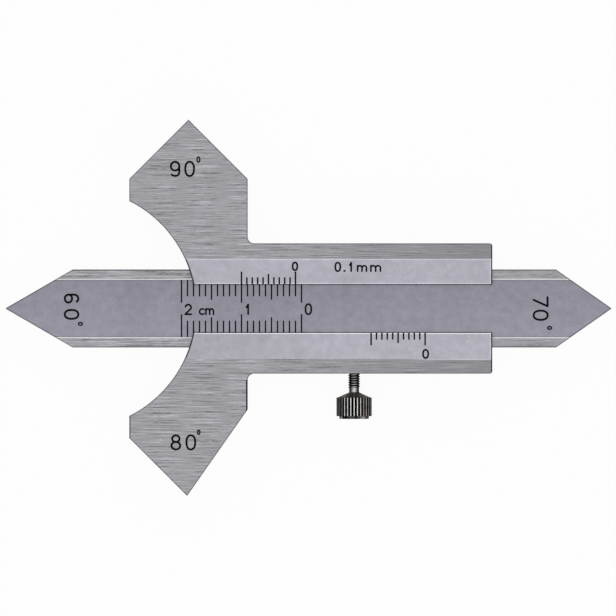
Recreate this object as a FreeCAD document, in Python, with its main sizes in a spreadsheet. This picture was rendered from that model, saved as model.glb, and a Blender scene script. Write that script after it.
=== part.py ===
import FreeCAD, Part
import os
import Sketcher

# A pocket weld gauge: a one-piece body with two arms and a sleeve, a slide with two
# pointed ends, a gib strip beside the slide and a knurled clamp screw.
# It lies on its back. X runs along the slide, Y across it and Z up through the front.
# The origin is on the slide's axis, at the middle of its length, in the plane of the back.
# The body's own frame has its X at the lands, the two flats that stand on the plates.

Vector = FreeCAD.Vector

# Driving dimensions in millimetres and degrees: alias, value, meaning
SIZES = (
    ("body_thickness", 6.5, "body, back to front face"),
    ("body_length", 60.45, "lands to the sleeve's end"),
    ("sleeve_width", 21.7, "sleeve, across"),
    ("arm_width", 19.7, "arms, along the slide"),
    ("corner_height", 21.6, "axis to the outer end of each land"),
    ("contact_angle", 45.0, "contact faces, from the slide's axis"),
    ("upper_arm_angle", 90.0, "corner of the upper arm"),
    ("lower_arm_angle", 80.0, "corner of the lower arm"),
    ("upper_arm_reach", 31.45, "axis to the upper arm's point"),
    ("lower_arm_reach", 31.23, "axis to the lower arm's point"),
    ("notch_radius", 20.0, "round notch between the arms"),
    ("notch_depth", 11.05, "notch, from the lands to its bottom"),
    ("inner_fillet", 1.1, "fillet between arm and sleeve"),
    ("outer_fillet", 0.45, "rounding of the sleeve's far corners"),
    ("edge_break", 0.15, "broken outer edges of the body"),
    ("back_wall", 1.7, "wall under the channel"),
    ("window_width", 8.0, "window between the lips"),
    ("lip_edge", 0.25, "lips, thickness at the window"),
    ("bevel_width", 4.4, "bevels, across"),
    ("slide_length", 100.9, "slide, tip to tip"),
    ("slide_width", 13.0, "slide, across"),
    ("slide_thickness", 2.7, "slide, back to front"),
    ("left_tip_angle", 60.0, "slide, left tip"),
    ("right_tip_angle", 70.0, "slide, right tip"),
    ("tip_radius", 0.12, "rounding of the tips"),
    ("slide_break", 0.12, "broken edges of the slide"),
    ("band_width", 9.9, "recessed band of the slide, across"),
    ("band_depth", 0.2, "recessed band, depth"),
    ("band_slope", 0.18, "sloped side of the recessed band"),
    ("slide_gap", 0.025, "running clearance of the slide"),
    ("rest_reading", 1.0, "fillet reading in this pose"),
    ("scale_zero", 49.275, "left tip to the slide's zero line"),
    ("scale_pitch", 1.0, "scale, line to line"),
    ("scale_count", 20, "scale, number of divisions"),
    ("minor_line_end", 2.03, "axis to the inner end of a 1 mm line"),
    ("medium_line_end", 1.45, "axis to the inner end of a 5 mm line"),
    ("major_line_end", 0.95, "axis to the inner end of a 10 mm line"),
    ("vernier_span", 9.0, "vernier, zero to last line"),
    ("vernier_count", 10, "vernier, number of divisions"),
    ("minor_vernier_line", 1.2, "vernier, ordinary line"),
    ("medium_vernier_line", 1.75, "vernier, middle line"),
    ("major_vernier_line", 2.15, "vernier, first and last line"),
    ("line_width", 0.24, "engraved lines of the scale, width"),
    ("vernier_line_width", 0.27, "engraved lines of the verniers, width"),
    ("line_depth", 0.05, "engraved lines, depth"),
    ("gib_thickness", 0.8, "gib strip, across"),
    ("gib_gap", 0.02, "gib to slide, gib to screw, gib to wall"),
    ("gib_play", 0.05, "gib under the channel's roof and over its floor"),
    ("gib_inset", 0.5, "gib's ends inside the channel's ends"),
    ("gib_back_off", 0.4, "room for the gib to back off, one turn"),
    ("screw_place", 37.45, "lands to the screw's axis"),
    ("screw_diameter", 1.95, "outside of the M2 thread"),
    ("thread_gap", 0.04, "screw in its hole, on the radius"),
    ("pilot_diameter", 1.3, "screw's plain tip"),
    ("pilot_length", 0.4, "screw's plain tip, length"),
    ("pilot_gap", 0.05, "tip in the gib's blind hole"),
    ("tip_chamfer", 0.2, "chamfer at the shank's end"),
    ("shank_show", 3.18, "shank between the sleeve and the head"),
    ("neck_diameter", 1.66, "plain neck under the head"),
    ("neck_length", 0.83, "plain neck, length"),
    ("cone_height", 0.8, "cone under the head"),
    ("shoulder_width", 0.3, "flat ring between the cone and the knurl"),
    ("head_diameter", 5.9, "knurled head"),
    ("grip_length", 3.12, "knurled head, cylinder"),
    ("end_inset", 0.48, "plain end disc, below the knurl on the radius"),
    ("end_length", 0.46, "plain end disc, length"),
    ("end_chamfer", 0.1, "plain end disc, chamfer"),
    ("knurl_count", 33, "knurl, number of flutes"),
    ("knurl_depth", 0.26, "knurl, depth of a flute"),
    ("knurl_width", 0.37, "knurl, width of a flute"),
)

# Places worked out from the driving dimensions, as expressions
HALF_SLIDE = "sizes.slide_width / 2"
HALF_SLEEVE = "sizes.sleeve_width / 2"
HALF_WINDOW = "sizes.window_width / 2"
HALF_BAND = "sizes.band_width / 2"
HALF_LINE = "sizes.line_width / 2"
LANDS_X = "sizes.corner_height - sizes.slide_length / 2 - sizes.rest_reading"
CHANNEL_HEIGHT = "sizes.slide_thickness + 2 * sizes.slide_gap"
CHANNEL_ROOF = f"sizes.back_wall + {CHANNEL_HEIGHT}"
CHANNEL_MIDDLE = f"sizes.back_wall + ({CHANNEL_HEIGHT}) / 2"
LIP_TOP = f"{CHANNEL_ROOF} + sizes.lip_edge"
BEVEL_SLOPE = f"(sizes.body_thickness - ({LIP_TOP})) / sizes.bevel_width"
FAR_WALL = f"{HALF_SLIDE} + sizes.slide_gap"
GIB_FACE = f"{HALF_SLIDE} + sizes.gib_gap"
GIB_BACK = f"{GIB_FACE} + sizes.gib_thickness"
NEAR_WALL = f"{GIB_BACK} + sizes.gib_back_off + sizes.gib_gap"
SHOULDER = f"{GIB_BACK} + sizes.gib_gap"
BAND_FLOOR = "sizes.slide_thickness - sizes.band_depth"
SHANK_END = f"sizes.pilot_length + {HALF_SLEEVE} + sizes.shank_show - ({SHOULDER})"
RIM = f"{SHANK_END} + sizes.cone_height"
GRIP_END = f"{RIM} + sizes.grip_length"
HEAD_TOP = f"{GRIP_END} + sizes.end_length"

# Clearance that a cutting tool needs above the face that it cuts
TOOL_OVER = 0.3


def add_sizes(doc):
    """Put the driving dimensions on a sheet, one named cell each."""
    sheet = doc.addObject("Spreadsheet::Sheet", "sizes")
    for row, (alias, value, meaning) in enumerate(SIZES, start=1):
        sheet.set(f"A{row}", meaning)
        sheet.set(f"B{row}", str(value))
        sheet.setAlias(f"B{row}", alias)
    doc.recompute()
    return sheet


def new_body(doc, label):
    body = doc.addObject("PartDesign::Body", label)
    body.Label = label
    return body


def own_origin(body, role):
    """One of the body's own origin planes or axes."""
    return next(part for part in body.Origin.OriginFeatures if part.Role == role)


def new_sketch(body, name, plane, height=None):
    """An empty sketch on an origin plane, raised along the plane's normal."""
    sketch = body.newObject("Sketcher::SketchObject", name)
    sketch.AttachmentSupport = (own_origin(body, plane), [""])
    sketch.MapMode = "FlatFace"
    if height:
        sketch.setExpression("AttachmentOffset.Base.z", height)
    return sketch


def tie(sketch, kind, geometry, point, size):
    """Tie one point of a sketch to its origin along one axis."""
    axis = {"DistanceX": -2, "DistanceY": -1}[kind]
    if size == "0":
        sketch.addConstraint(Sketcher.Constraint("PointOnObject", geometry, point, axis))
        return
    place = float(sketch.evalExpression(size))
    index = sketch.addConstraint(Sketcher.Constraint(kind, -1, 1, geometry, point, place))
    sketch.setExpression(f"Constraints[{index}]", size)


def draw_outline(sketch, corners):
    """A closed outline whose corners are tied to pairs of expressions."""
    first = sketch.GeometryCount
    places = [Vector(*[float(sketch.evalExpression(size)) for size in corner], 0)
              for corner in corners]
    following = places[1:] + places[:1]
    for start, end in zip(places, following):
        sketch.addGeometry(Part.LineSegment(start, end))
    for number, (across, up) in enumerate(corners):
        edge = first + number
        next_edge = first + (number + 1) % len(corners)
        sketch.addConstraint(Sketcher.Constraint("Coincident", edge, 2, next_edge, 1))
        tie(sketch, "DistanceX", edge, 1, across)
        tie(sketch, "DistanceY", edge, 1, up)


def draw_circle(sketch, across, up, radius):
    centre = Vector(float(sketch.evalExpression(across)), float(sketch.evalExpression(up)), 0)
    size = float(sketch.evalExpression(radius))
    circle = sketch.addGeometry(Part.Circle(centre, Vector(0, 0, 1), size))
    tie(sketch, "DistanceX", circle, 3, across)
    tie(sketch, "DistanceY", circle, 3, up)
    index = sketch.addConstraint(Sketcher.Constraint("Radius", circle, size))
    sketch.setExpression(f"Constraints[{index}]", radius)


def draw_box(sketch, left, right, bottom, top):
    draw_outline(sketch, ((left, bottom), (right, bottom), (right, top), (left, top)))


def pad(body, name, sketch, length, reverse=False):
    feature = body.newObject("PartDesign::Pad", name)
    feature.Profile = sketch
    feature.setExpression("Length", length)
    feature.Reversed = reverse
    body.Document.recompute()
    return feature


def pocket(body, name, sketch, length=None, both_ways=False, reverse=False):
    """Cut a sketch out of the body, to a length or right through, and prove the cut."""
    before = body.Shape.Volume
    feature = body.newObject("PartDesign::Pocket", name)
    feature.Profile = sketch
    feature.Reversed = reverse
    if both_ways:
        feature.SideType = "Symmetric"
    if length:
        feature.setExpression("Length", length)
    else:
        feature.Type = "ThroughAll"
    body.Document.recompute()
    if body.Shape.Volume >= before:
        raise RuntimeError(f"{name} cuts nothing")
    return feature


def repeat_along_x(body, name, feature, length, count):
    """Repeat a cut towards -X, over a length."""
    pattern = body.newObject("PartDesign::LinearPattern", name)
    pattern.Originals = [feature]
    pattern.Direction = (own_origin(body, "X_Axis"), [""])
    pattern.Reversed = True
    pattern.setExpression("Length", length)
    pattern.setExpression("Occurrences", count)
    body.Tip = pattern
    body.Document.recompute()
    return pattern


def near(first, second, reach=0.01):
    return abs(first - second) < reach


def level_edges(shape, height):
    """Names of the edges that lie in one level plane."""
    return [f"Edge{number}" for number, edge in enumerate(shape.Edges, start=1)
            if all(near(vertex.Z, height) for vertex in edge.Vertexes)]


def upright_edges(shape, wanted):
    """Names of the edges along Z whose place passes a test."""
    names = []
    for number, edge in enumerate(shape.Edges, start=1):
        first, last = edge.Vertexes[0].Point, edge.Vertexes[-1].Point
        upright = near(first.x, last.x) and near(first.y, last.y) and not near(first.z, last.z)
        if upright and wanted(first):
            names.append(f"Edge{number}")
    return names


def round_off(body, name, edges, radius):
    base = body.Tip
    feature = body.newObject("PartDesign::Fillet", name)
    feature.Base = (base, edges)
    feature.setExpression("Radius", radius)
    body.Document.recompute()


def break_edges(body, name, height, size):
    """Chamfer the whole outline of the back or the front face."""
    base = body.Tip
    feature = body.newObject("PartDesign::Chamfer", name)
    feature.Base = (base, level_edges(base.Shape, height))
    feature.setExpression("Size", size)
    body.Document.recompute()


def arm_corners(side, reach, angle):
    """Corners of one arm from the sleeve round to its land; side is "" or "-"."""
    apex = f"({reach} - sizes.corner_height) / tan(sizes.contact_angle)"
    fall = f"tan(180 - {angle} - sizes.contact_angle)"
    shoulder = f"{reach} - (sizes.arm_width - {apex}) * {fall}"
    return (
        ("sizes.arm_width", f"{side}({HALF_SLEEVE})"),
        ("sizes.arm_width", f"{side}({shoulder})"),
        (apex, f"{side}({reach})"),
        ("0", f"{side}(sizes.corner_height)"),
    )


def make_gauge_body(doc):
    """The plate with its arms, notch, channel, vernier lips and screw hole."""
    body = new_body(doc, "gauge_body")
    body.setExpression("Placement.Base.x", LANDS_X)

    outline = new_sketch(body, "outline", "XY_Plane")
    upper_arm = arm_corners("", "sizes.upper_arm_reach", "sizes.upper_arm_angle")
    lower_arm = arm_corners("-", "sizes.lower_arm_reach", "sizes.lower_arm_angle")
    sleeve_end = (("sizes.body_length", f"-({HALF_SLEEVE})"), ("sizes.body_length", HALF_SLEEVE))
    draw_outline(outline, upper_arm + lower_arm[::-1] + sleeve_end)
    pad(body, "plate", outline, "sizes.body_thickness")

    notch = new_sketch(body, "notch_circle", "XY_Plane")
    draw_circle(notch, "sizes.notch_depth - sizes.notch_radius", "0", "sizes.notch_radius")
    pocket(body, "notch", notch, reverse=True)

    sheet = doc.sizes
    half_sleeve = sheet.sleeve_width / 2
    for name, place in (("inner", sheet.arm_width), ("outer", sheet.body_length)):
        corners = upright_edges(body.Tip.Shape, lambda point: near(point.x, place)
                                and near(abs(point.y), half_sleeve))
        round_off(body, f"{name}_corners", corners, f"sizes.{name}_fillet")
    break_edges(body, "broken_back_edges", 0.0, "sizes.edge_break")
    break_edges(body, "broken_front_edges", sheet.body_thickness, "sizes.edge_break")

    channel = new_sketch(body, "channel_section", "YZ_Plane")
    bevel_edge = f"{HALF_WINDOW} + sizes.bevel_width"
    over = f"sizes.body_thickness + {TOOL_OVER}"
    draw_outline(channel, (
        (f"-({NEAR_WALL})", "sizes.back_wall"),
        (FAR_WALL, "sizes.back_wall"),
        (FAR_WALL, CHANNEL_ROOF),
        (HALF_WINDOW, CHANNEL_ROOF),
        (HALF_WINDOW, LIP_TOP),
        (bevel_edge, "sizes.body_thickness"),
        (bevel_edge, over),
        (f"-({bevel_edge})", over),
        (f"-({bevel_edge})", "sizes.body_thickness"),
        (f"-({HALF_WINDOW})", LIP_TOP),
        (f"-({HALF_WINDOW})", CHANNEL_ROOF),
        (f"-({NEAR_WALL})", CHANNEL_ROOF),
    ))
    pocket(body, "channel", channel, reverse=True)

    hole = new_sketch(body, "screw_hole_circle", "XZ_Plane")
    draw_circle(hole, "sizes.screw_place", CHANNEL_MIDDLE,
                "sizes.screw_diameter / 2 + sizes.thread_gap")
    pocket(body, "screw_hole", hole, reverse=True)

    engrave_vernier(body, "fillet", "", "sizes.scale_zero - sizes.corner_height")
    engrave_vernier(body, "butt", "-", "sizes.scale_zero")
    return body


def engrave_vernier(body, name, side, zero):
    """Vernier lines down the bevel of one lip, from their zero line towards -X."""
    kinds = (
        ("minor", "0", "sizes.vernier_span", "sizes.vernier_count + 1"),
        ("medium", "sizes.vernier_span / 2", None, None),
        ("major", "0", "sizes.vernier_span", "2"),
    )
    for kind, offset, length, count in kinds:
        line = new_sketch(body, f"{name}_{kind}_section", "YZ_Plane",
                          f"{zero} - {offset} + sizes.vernier_line_width / 2")
        reach = f"sizes.{kind}_vernier_line"
        inner = f"{side}({HALF_WINDOW} - {TOOL_OVER})"
        outer = f"{side}({HALF_WINDOW} + {reach})"
        top = f"{LIP_TOP} + {BEVEL_SLOPE} * {reach} + {TOOL_OVER}"
        draw_outline(line, (
            (inner, f"{LIP_TOP} - {BEVEL_SLOPE} * {TOOL_OVER} - sizes.line_depth"),
            (outer, f"{LIP_TOP} + {BEVEL_SLOPE} * {reach} - sizes.line_depth"),
            (outer, top),
            (inner, top),
        ))
        cut = pocket(body, f"{name}_{kind}_line", line, "sizes.vernier_line_width")
        if length:
            repeat_along_x(body, f"{name}_{kind}_lines", cut, length, count)


def make_slide(doc):
    """The double-pointed bar with its recessed band and its centimetre scale."""
    body = new_body(doc, "slide")
    body.setExpression("Placement.Base.z", "sizes.back_wall + sizes.slide_gap")

    ends = {}
    for end in ("left", "right"):
        half_angle = f"sizes.{end}_tip_angle / 2"
        apex = f"sizes.slide_length / 2 + sizes.tip_radius * (1 / sin({half_angle}) - 1)"
        ends[end] = (apex, f"{apex} - {HALF_SLIDE} / tan({half_angle})")
    outline = new_sketch(body, "outline", "XY_Plane")
    draw_outline(outline, (
        (f"-({ends['left'][0]})", "0"),
        (f"-({ends['left'][1]})", f"-({HALF_SLIDE})"),
        (ends["right"][1], f"-({HALF_SLIDE})"),
        (ends["right"][0], "0"),
        (ends["right"][1], HALF_SLIDE),
        (f"-({ends['left'][1]})", HALF_SLIDE),
    ))
    pad(body, "bar", outline, "sizes.slide_thickness")
    tips = upright_edges(body.Tip.Shape, lambda point: near(point.y, 0.0))
    round_off(body, "rounded_tips", tips, "sizes.tip_radius")
    break_edges(body, "broken_back_edges", 0.0, "sizes.slide_break")
    break_edges(body, "broken_front_edges", doc.sizes.slide_thickness, "sizes.slide_break")

    band = new_sketch(body, "band_section", "YZ_Plane")
    floor_edge = f"{HALF_BAND} - sizes.band_slope"
    over = f"sizes.slide_thickness + {TOOL_OVER}"
    draw_outline(band, (
        (f"-({floor_edge})", BAND_FLOOR),
        (floor_edge, BAND_FLOOR),
        (HALF_BAND, "sizes.slide_thickness"),
        (HALF_BAND, over),
        (f"-({HALF_BAND})", over),
        (f"-({HALF_BAND})", "sizes.slide_thickness"),
    ))
    pocket(body, "recessed_band", band, both_ways=True)

    engrave_scale(body, floor_edge)
    return body


def engrave_scale(body, outer_end):
    """Two rows of lines across the band, from the zero line towards -X."""
    zero = "sizes.scale_zero - sizes.slide_length / 2"
    tens = "floor(sizes.scale_count / 10)"
    fives = "floor((sizes.scale_count + 5) / 10)"
    kinds = (
        ("minor", "0", "sizes.scale_count", "sizes.scale_count + 1"),
        ("medium", "5", f"10 * ({fives} - 1)", fives),
        ("major", "0", f"10 * {tens}", f"{tens} + 1"),
    )
    for kind, offset, span, count in kinds:
        line = new_sketch(body, f"{kind}_outline", "XY_Plane", BAND_FLOOR)
        middle = f"{zero} - {offset} * sizes.scale_pitch"
        left = f"{middle} - {HALF_LINE}"
        right = f"{middle} + {HALF_LINE}"
        inner_end = f"sizes.{kind}_line_end"
        draw_box(line, left, right, inner_end, outer_end)
        draw_box(line, left, right, f"-({outer_end})", f"-({inner_end})")
        cut = pocket(body, f"{kind}_line", line, "sizes.line_depth")
        repeat_along_x(body, f"{kind}_lines", cut, f"{span} * sizes.scale_pitch", count)


def make_gib_strip(doc):
    """The strip beside the slide, with a blind hole for the screw's tip."""
    body = new_body(doc, "gib_strip")
    body.setExpression("Placement.Base.x", f"{LANDS_X} + sizes.notch_depth + sizes.gib_inset")
    body.setExpression("Placement.Base.y", f"-({GIB_FACE})")
    body.setExpression("Placement.Base.z", "sizes.back_wall + sizes.gib_play")

    outline = new_sketch(body, "outline", "XY_Plane")
    length = "sizes.body_length - sizes.notch_depth - 2 * sizes.gib_inset"
    draw_box(outline, "0", length, "-(sizes.gib_thickness)", "0")
    pad(body, "strip", outline, f"{CHANNEL_HEIGHT} - 2 * sizes.gib_play")

    seat = new_sketch(body, "tip_seat_circle", "XZ_Plane", "sizes.gib_thickness")
    draw_circle(seat, "sizes.screw_place - sizes.notch_depth - sizes.gib_inset",
                f"({CHANNEL_HEIGHT}) / 2 - sizes.gib_play",
                "sizes.pilot_diameter / 2 + sizes.pilot_gap")
    pocket(body, "tip_seat", seat, "sizes.pilot_length + sizes.pilot_gap")
    return body


def make_clamp_screw(doc):
    """The turned screw, drawn upright from its tip and laid down towards -Y."""
    body = new_body(doc, "clamp_screw")
    body.Placement.Rotation = FreeCAD.Rotation(Vector(1, 0, 0), 90)
    body.setExpression("Placement.Base.x", f"{LANDS_X} + sizes.screw_place")
    body.setExpression("Placement.Base.y", f"sizes.pilot_length - ({SHOULDER})")
    body.setExpression("Placement.Base.z", CHANNEL_MIDDLE)

    profile = new_sketch(body, "turned_profile", "XZ_Plane")
    pilot = "sizes.pilot_diameter / 2"
    shank = "sizes.screw_diameter / 2"
    neck = "sizes.neck_diameter / 2"
    head = "sizes.head_diameter / 2"
    disc = f"{head} - sizes.end_inset"
    neck_start = f"{SHANK_END} - sizes.neck_length"
    draw_outline(profile, (
        ("0", "0"),
        (pilot, "0"),
        (pilot, "sizes.pilot_length"),
        (f"{shank} - sizes.tip_chamfer", "sizes.pilot_length"),
        (shank, "sizes.pilot_length + sizes.tip_chamfer"),
        (shank, neck_start),
        (neck, neck_start),
        (neck, SHANK_END),
        (f"{head} - sizes.shoulder_width", RIM),
        (head, RIM),
        (head, GRIP_END),
        (disc, GRIP_END),
        (disc, f"{HEAD_TOP} - sizes.end_chamfer"),
        (f"{disc} - sizes.end_chamfer", HEAD_TOP),
        ("0", HEAD_TOP),
    ))
    turned = body.newObject("PartDesign::Revolution", "turned_screw")
    turned.Profile = profile
    turned.ReferenceAxis = (own_origin(body, "Z_Axis"), [""])
    doc.recompute()

    flute = new_sketch(body, "flute_section", "XY_Plane", SHANK_END)
    draw_outline(flute, (
        (f"{head} - sizes.knurl_depth", "0"),
        (f"{head} + sizes.knurl_depth", "-(sizes.knurl_width)"),
        (f"{head} + sizes.knurl_depth", "sizes.knurl_width"),
    ))
    cut = pocket(body, "flute", flute, reverse=True)
    knurl = body.newObject("PartDesign::PolarPattern", "knurl")
    knurl.Originals = [cut]
    knurl.Axis = (own_origin(body, "Z_Axis"), [""])
    knurl.setExpression("Occurrences", "sizes.knurl_count")
    body.Tip = knurl
    doc.recompute()
    return body


def check(doc, parts):
    """Stop if anything failed to build, or a piece isn't one sound solid."""
    for item in doc.Objects:
        if {"Invalid", "Error"} & set(item.State):
            raise RuntimeError(f"{item.Name} failed: {item.State}")
    for part in parts:
        shape = part.Shape
        if shape.isNull() or not shape.isValid() or len(shape.Solids) != 1:
            raise RuntimeError(f"{part.Label} isn't one sound solid")


def write(parts):
    os.makedirs("parts", exist_ok=True)
    for part in parts:
        part.Shape.exportStep(f"parts/{part.Label}.step")
        box = part.Shape.BoundBox
        print(part.Label, f"{part.Shape.Volume:.1f} mm3",
              f"X {box.XMin:.2f} {box.XMax:.2f}",
              f"Y {box.YMin:.2f} {box.YMax:.2f}",
              f"Z {box.ZMin:.2f} {box.ZMax:.2f}")


def main():
    doc = FreeCAD.newDocument("weld_gauge")
    add_sizes(doc)
    parts = [make(doc) for make in (make_gauge_body, make_slide, make_gib_strip, make_clamp_screw)]
    doc.recompute()
    check(doc, parts)
    write(parts)


main()
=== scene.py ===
"""Looks of a pocket weld gauge: ground and satin steel, black-filled marks, a turned screw."""

import math

import bpy
from mathutils import Matrix, Vector


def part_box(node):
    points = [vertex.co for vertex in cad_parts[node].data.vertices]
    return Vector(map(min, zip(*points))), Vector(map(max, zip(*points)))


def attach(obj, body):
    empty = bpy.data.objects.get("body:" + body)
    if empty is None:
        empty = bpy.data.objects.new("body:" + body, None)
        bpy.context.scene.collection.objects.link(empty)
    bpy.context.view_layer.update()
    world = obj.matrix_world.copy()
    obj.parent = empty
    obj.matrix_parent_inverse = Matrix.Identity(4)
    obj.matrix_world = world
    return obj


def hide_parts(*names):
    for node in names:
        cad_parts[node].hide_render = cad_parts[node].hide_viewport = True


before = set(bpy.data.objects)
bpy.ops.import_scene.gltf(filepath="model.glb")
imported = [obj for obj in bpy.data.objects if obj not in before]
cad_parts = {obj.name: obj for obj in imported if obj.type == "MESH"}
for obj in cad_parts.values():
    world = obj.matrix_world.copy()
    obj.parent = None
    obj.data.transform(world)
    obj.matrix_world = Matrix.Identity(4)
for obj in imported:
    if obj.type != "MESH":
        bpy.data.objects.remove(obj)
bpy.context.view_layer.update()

MM = 0.001
MERGE_DISTANCE = 0.0001 * MM
MICROMETRE = 1e-6
FULL_TURN = 2 * math.pi
# The angle in degrees up to which a round is smoothed
METAL_SMOOTHING, INK_SMOOTHING = 35.0, 50.0

# Places and sizes are in millimetres, unless a line says otherwise

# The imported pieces' corners
BODY_LOW, BODY_HIGH = (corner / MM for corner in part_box("gauge_body"))
SLIDE_LOW, SLIDE_HIGH = (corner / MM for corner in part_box("slide"))
SCREW_LOW, SCREW_HIGH = (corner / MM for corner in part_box("clamp_screw"))

# The slide's sunk band, the scale on it and the two tips
BAND_FACE = SLIDE_HIGH.z - 0.2
BAND_FOOT = 4.77
BAND_EDGE = 4.95
SCALE_ZERO = -1.175
SCALE_LENGTH = 20.0
TIP_HALF_ANGLES = (math.radians(30), math.radians(35))

# The sleeve's bevelled lips and the two verniers on them
LIP_REACH = 4.0
LIP_TOP = 4.7
BEVEL_EDGE = 8.4
BEVEL_SLOPE = (BODY_HIGH.z - LIP_TOP) / (BEVEL_EDGE - LIP_REACH)
BEVEL_UP = math.cos(math.atan(BEVEL_SLOPE))
FILLET_VERNIER_ZERO = -2.175
BUTT_VERNIER_ZERO = 19.425
VERNIER_LENGTH = 9.0
VERNIER_START, VERNIER_REACH = LIP_REACH + 0.01, LIP_REACH + 2.25

# The sleeve, the arms, the round notch between them and the channel
SLEEVE_EDGE = 10.85
SLEEVE_START = -16.0
ARM_SIDE = BODY_LOW.x + 19.7
LOWER_SHOULDER = -20.4
NOTCH_RADIUS = 20.0
NOTCH_CENTRE_X = BODY_LOW.x + 11.05 - NOTCH_RADIUS
CHANNEL_HALF_WIDTH = 7.8
CHANNEL_FLOOR = 1.6
CHANNEL_ROOF = 4.46

# Engraved lines and the black filling of lines and signs; a stroke's end as (reach, width) shares
LINE_DEPTH = 0.05
FILLED_DEPTH = (0.2 * LINE_DEPTH, 1.4 * LINE_DEPTH)
LINE_WIDTH = 0.24
VERNIER_LINE_WIDTH = 0.27
INK_STROKE = 0.31
TALL_SIGN = 2.5
TALL_SIGN_STROKE = 0.35
SPECIAL_STROKES = {"degree": 0.25, "c": 0.29, "m": 0.29}
INK_RISE = 0.012
ROUND_END = ((0.5, 0.87), (0.87, 0.5), (1.0, 0.1))

# The clamp screw, along its axis from the tip; a flute's section as shares of its depth
PILOT_LENGTH = 0.4
PILOT_RADIUS = 0.65
PILOT_CHAMFER = 0.08
PILOT_STEP = 0.05
THREAD_RADIUS = 0.975
THREAD_PITCH = 0.4
THREAD_DEPTH = 0.45 * THREAD_PITCH
THREAD_ROOT = THREAD_RADIUS - THREAD_DEPTH
THREAD_STEPS = 40
SPARE_TURNS = 2
CORE_OVERLAP = 0.01
NECK_RADIUS = 0.83
NECK_LENGTH = 0.79
NECK_RUNOUT = 0.08
NECK_ROOT = 0.05
CONE_LENGTH = 0.84
CONE_BREAK = 0.02
SHOULDER_WIDTH = 0.24
GRIP_LENGTH = 3.12
TOOTH_CHAMFER = 0.06
END_INSET = 0.48
END_LENGTH = 0.46
END_CHAMFER = 0.1
FLUTES = 33
FLUTE_DEPTH = 0.26
FLUTE_SECTION = (0.5, 0.0, 0.0, 0.0, 0.5, 0.9, 1.0, 0.9)
FLUTE_END_ROOM = 0.05

# The screw's axis, its head and the places along it, from its packed box
SCREW_AXIS = (SCREW_LOW + SCREW_HIGH) / 2
HEAD_RADIUS = SCREW_AXIS.x - SCREW_LOW.x
END_RADIUS = HEAD_RADIUS - END_INSET
GRIP_END = SCREW_LOW.y + END_LENGTH
GRIP_START = GRIP_END + GRIP_LENGTH
CONE_START = GRIP_START + CONE_LENGTH
SHANK_END = CONE_START + NECK_LENGTH
SHANK_START = SCREW_HIGH.y - PILOT_LENGTH

# The picture: what the camera looks at, and how wide a strip of it the frame takes in
VIEW_CENTRE = Vector((-0.09, 0.08, BAND_FACE))
VIEW_WIDTH = 102.67
LENS = 900.0
SENSOR = 36.0

# The studio in metres and watts: each lamp's place, size and power, and the floor
SOFTBOXES = {
    "overhead_softbox": ((0, 0, 1.0), (1.3, 1.1), 1.9),
    "upper_softbox": ((0, 0.9, 0.75), (1.4, 0.8), 1.9),
    "lower_softbox": ((0, -0.9, 0.75), (1.4, 0.8), 1.8),
}
SURROUND_STRENGTH = 0.55
LAMP_TARGET = Vector((0, 0, 0))
FLOOR_SIZE = 3.0
FLOOR_DROP = 0.00001
FLOOR_GLOW = 0.95

# Where the finishes change: which way the bevels face, and limits across or along the slide
BEVEL_FACING = (BEVEL_UP - 0.02, BEVEL_UP + 0.02)
LOWER_BEVEL_LIMIT, UPPER_BEVEL_LIMIT = BEVEL_EDGE + 0.1, BEVEL_EDGE - 0.11
LOWER_BEVEL_DARKENING = (2.0, -10.0)
SLEEVE_SIDE = SLEEVE_EDGE + 0.05
BAND_STEP = (BAND_FOOT - 0.02, BAND_EDGE)
NEAR_TIPS = (30.0, 36.0)
RIGHT_STRIPS = (15.0, 30.0)

# Thin painted highlights and painted shade along edges: where each starts and ends, or lies and how
# wide it is
TOP_HIGHLIGHT = {"Distance": BEVEL_EDGE - 0.25, "Width": 0.12}
LIP_HIGHLIGHT = {"Distance": LIP_REACH + 0.17, "Width": 0.1}
FAR_HIGHLIGHT = {"Distance": BEVEL_EDGE + 0.09, "Width": 0.12}
FAR_END = (17.0, 22.0)
LIP_LINE = LIP_REACH + 0.1
NOTCH_LINE = (NOTCH_RADIUS + 0.27, NOTCH_RADIUS + 0.14)
END_LINE = (BODY_HIGH.x - 0.4, BODY_HIGH.x - 0.2)
ARM_LINE = (ARM_SIDE - 0.27, ARM_SIDE + 0.1)
ARM_LINE_ENDS = (LOWER_SHOULDER, -SLEEVE_EDGE - 1.0)
LAND_LINE = BODY_LOW.x + 0.2
HOLE_RIM = (-SLEEVE_EDGE - 0.1, -SLEEVE_EDGE + 0.2)
HOLE_RIM_ENDS = (SCREW_AXIS.x - 1.4, SCREW_AXIS.x + 1.4)
BAND_FOOT_LINE = (BAND_FOOT - 0.17, BAND_FOOT - 0.02)
SLIDE_RIM = (SLIDE_HIGH.y - 0.3, SLIDE_HIGH.y - 0.15)
TIP_LINE = 0.13

# Grinding marks, grains and clouds: how many to a millimetre, or how long or wide they are
GROUND_MARKS = {"Marks_per_mm": 10.0, "Mark_Length": 1.4}
ROLLED_MARKS = {"Marks_per_mm": 3.0, "Mark_Length": 8.0}
BEVEL_GRAINS, BAND_GRAINS, OXIDE_GRAINS, FILLING_GRAINS = 8.0, 10.0, 14.0, 12.0
SATIN_CLOUD, BODY_CLOUD, SLIDE_CLOUD, BRASS_CLOUD, OXIDE_CLOUD = 1.4, 6.0, 9.0, 3.0, 0.9

# How far a pattern swings the colour, as a share of it
ARM_CONTRAST, SLEEVE_CONTRAST = 2.0, 1.05
SLIDE_CONTRAST, RIGHT_STRIP_CONTRAST = 2.2, 1.4
GRAIN_CONTRAST, BEVEL_CLOUD_CONTRAST, BAND_CLOUD_CONTRAST = 0.6, 0.4, 0.45
HAZE_CONTRAST, BRASS_CONTRAST, OXIDE_CONTRAST = 0.25, 0.5, 3.0
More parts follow.
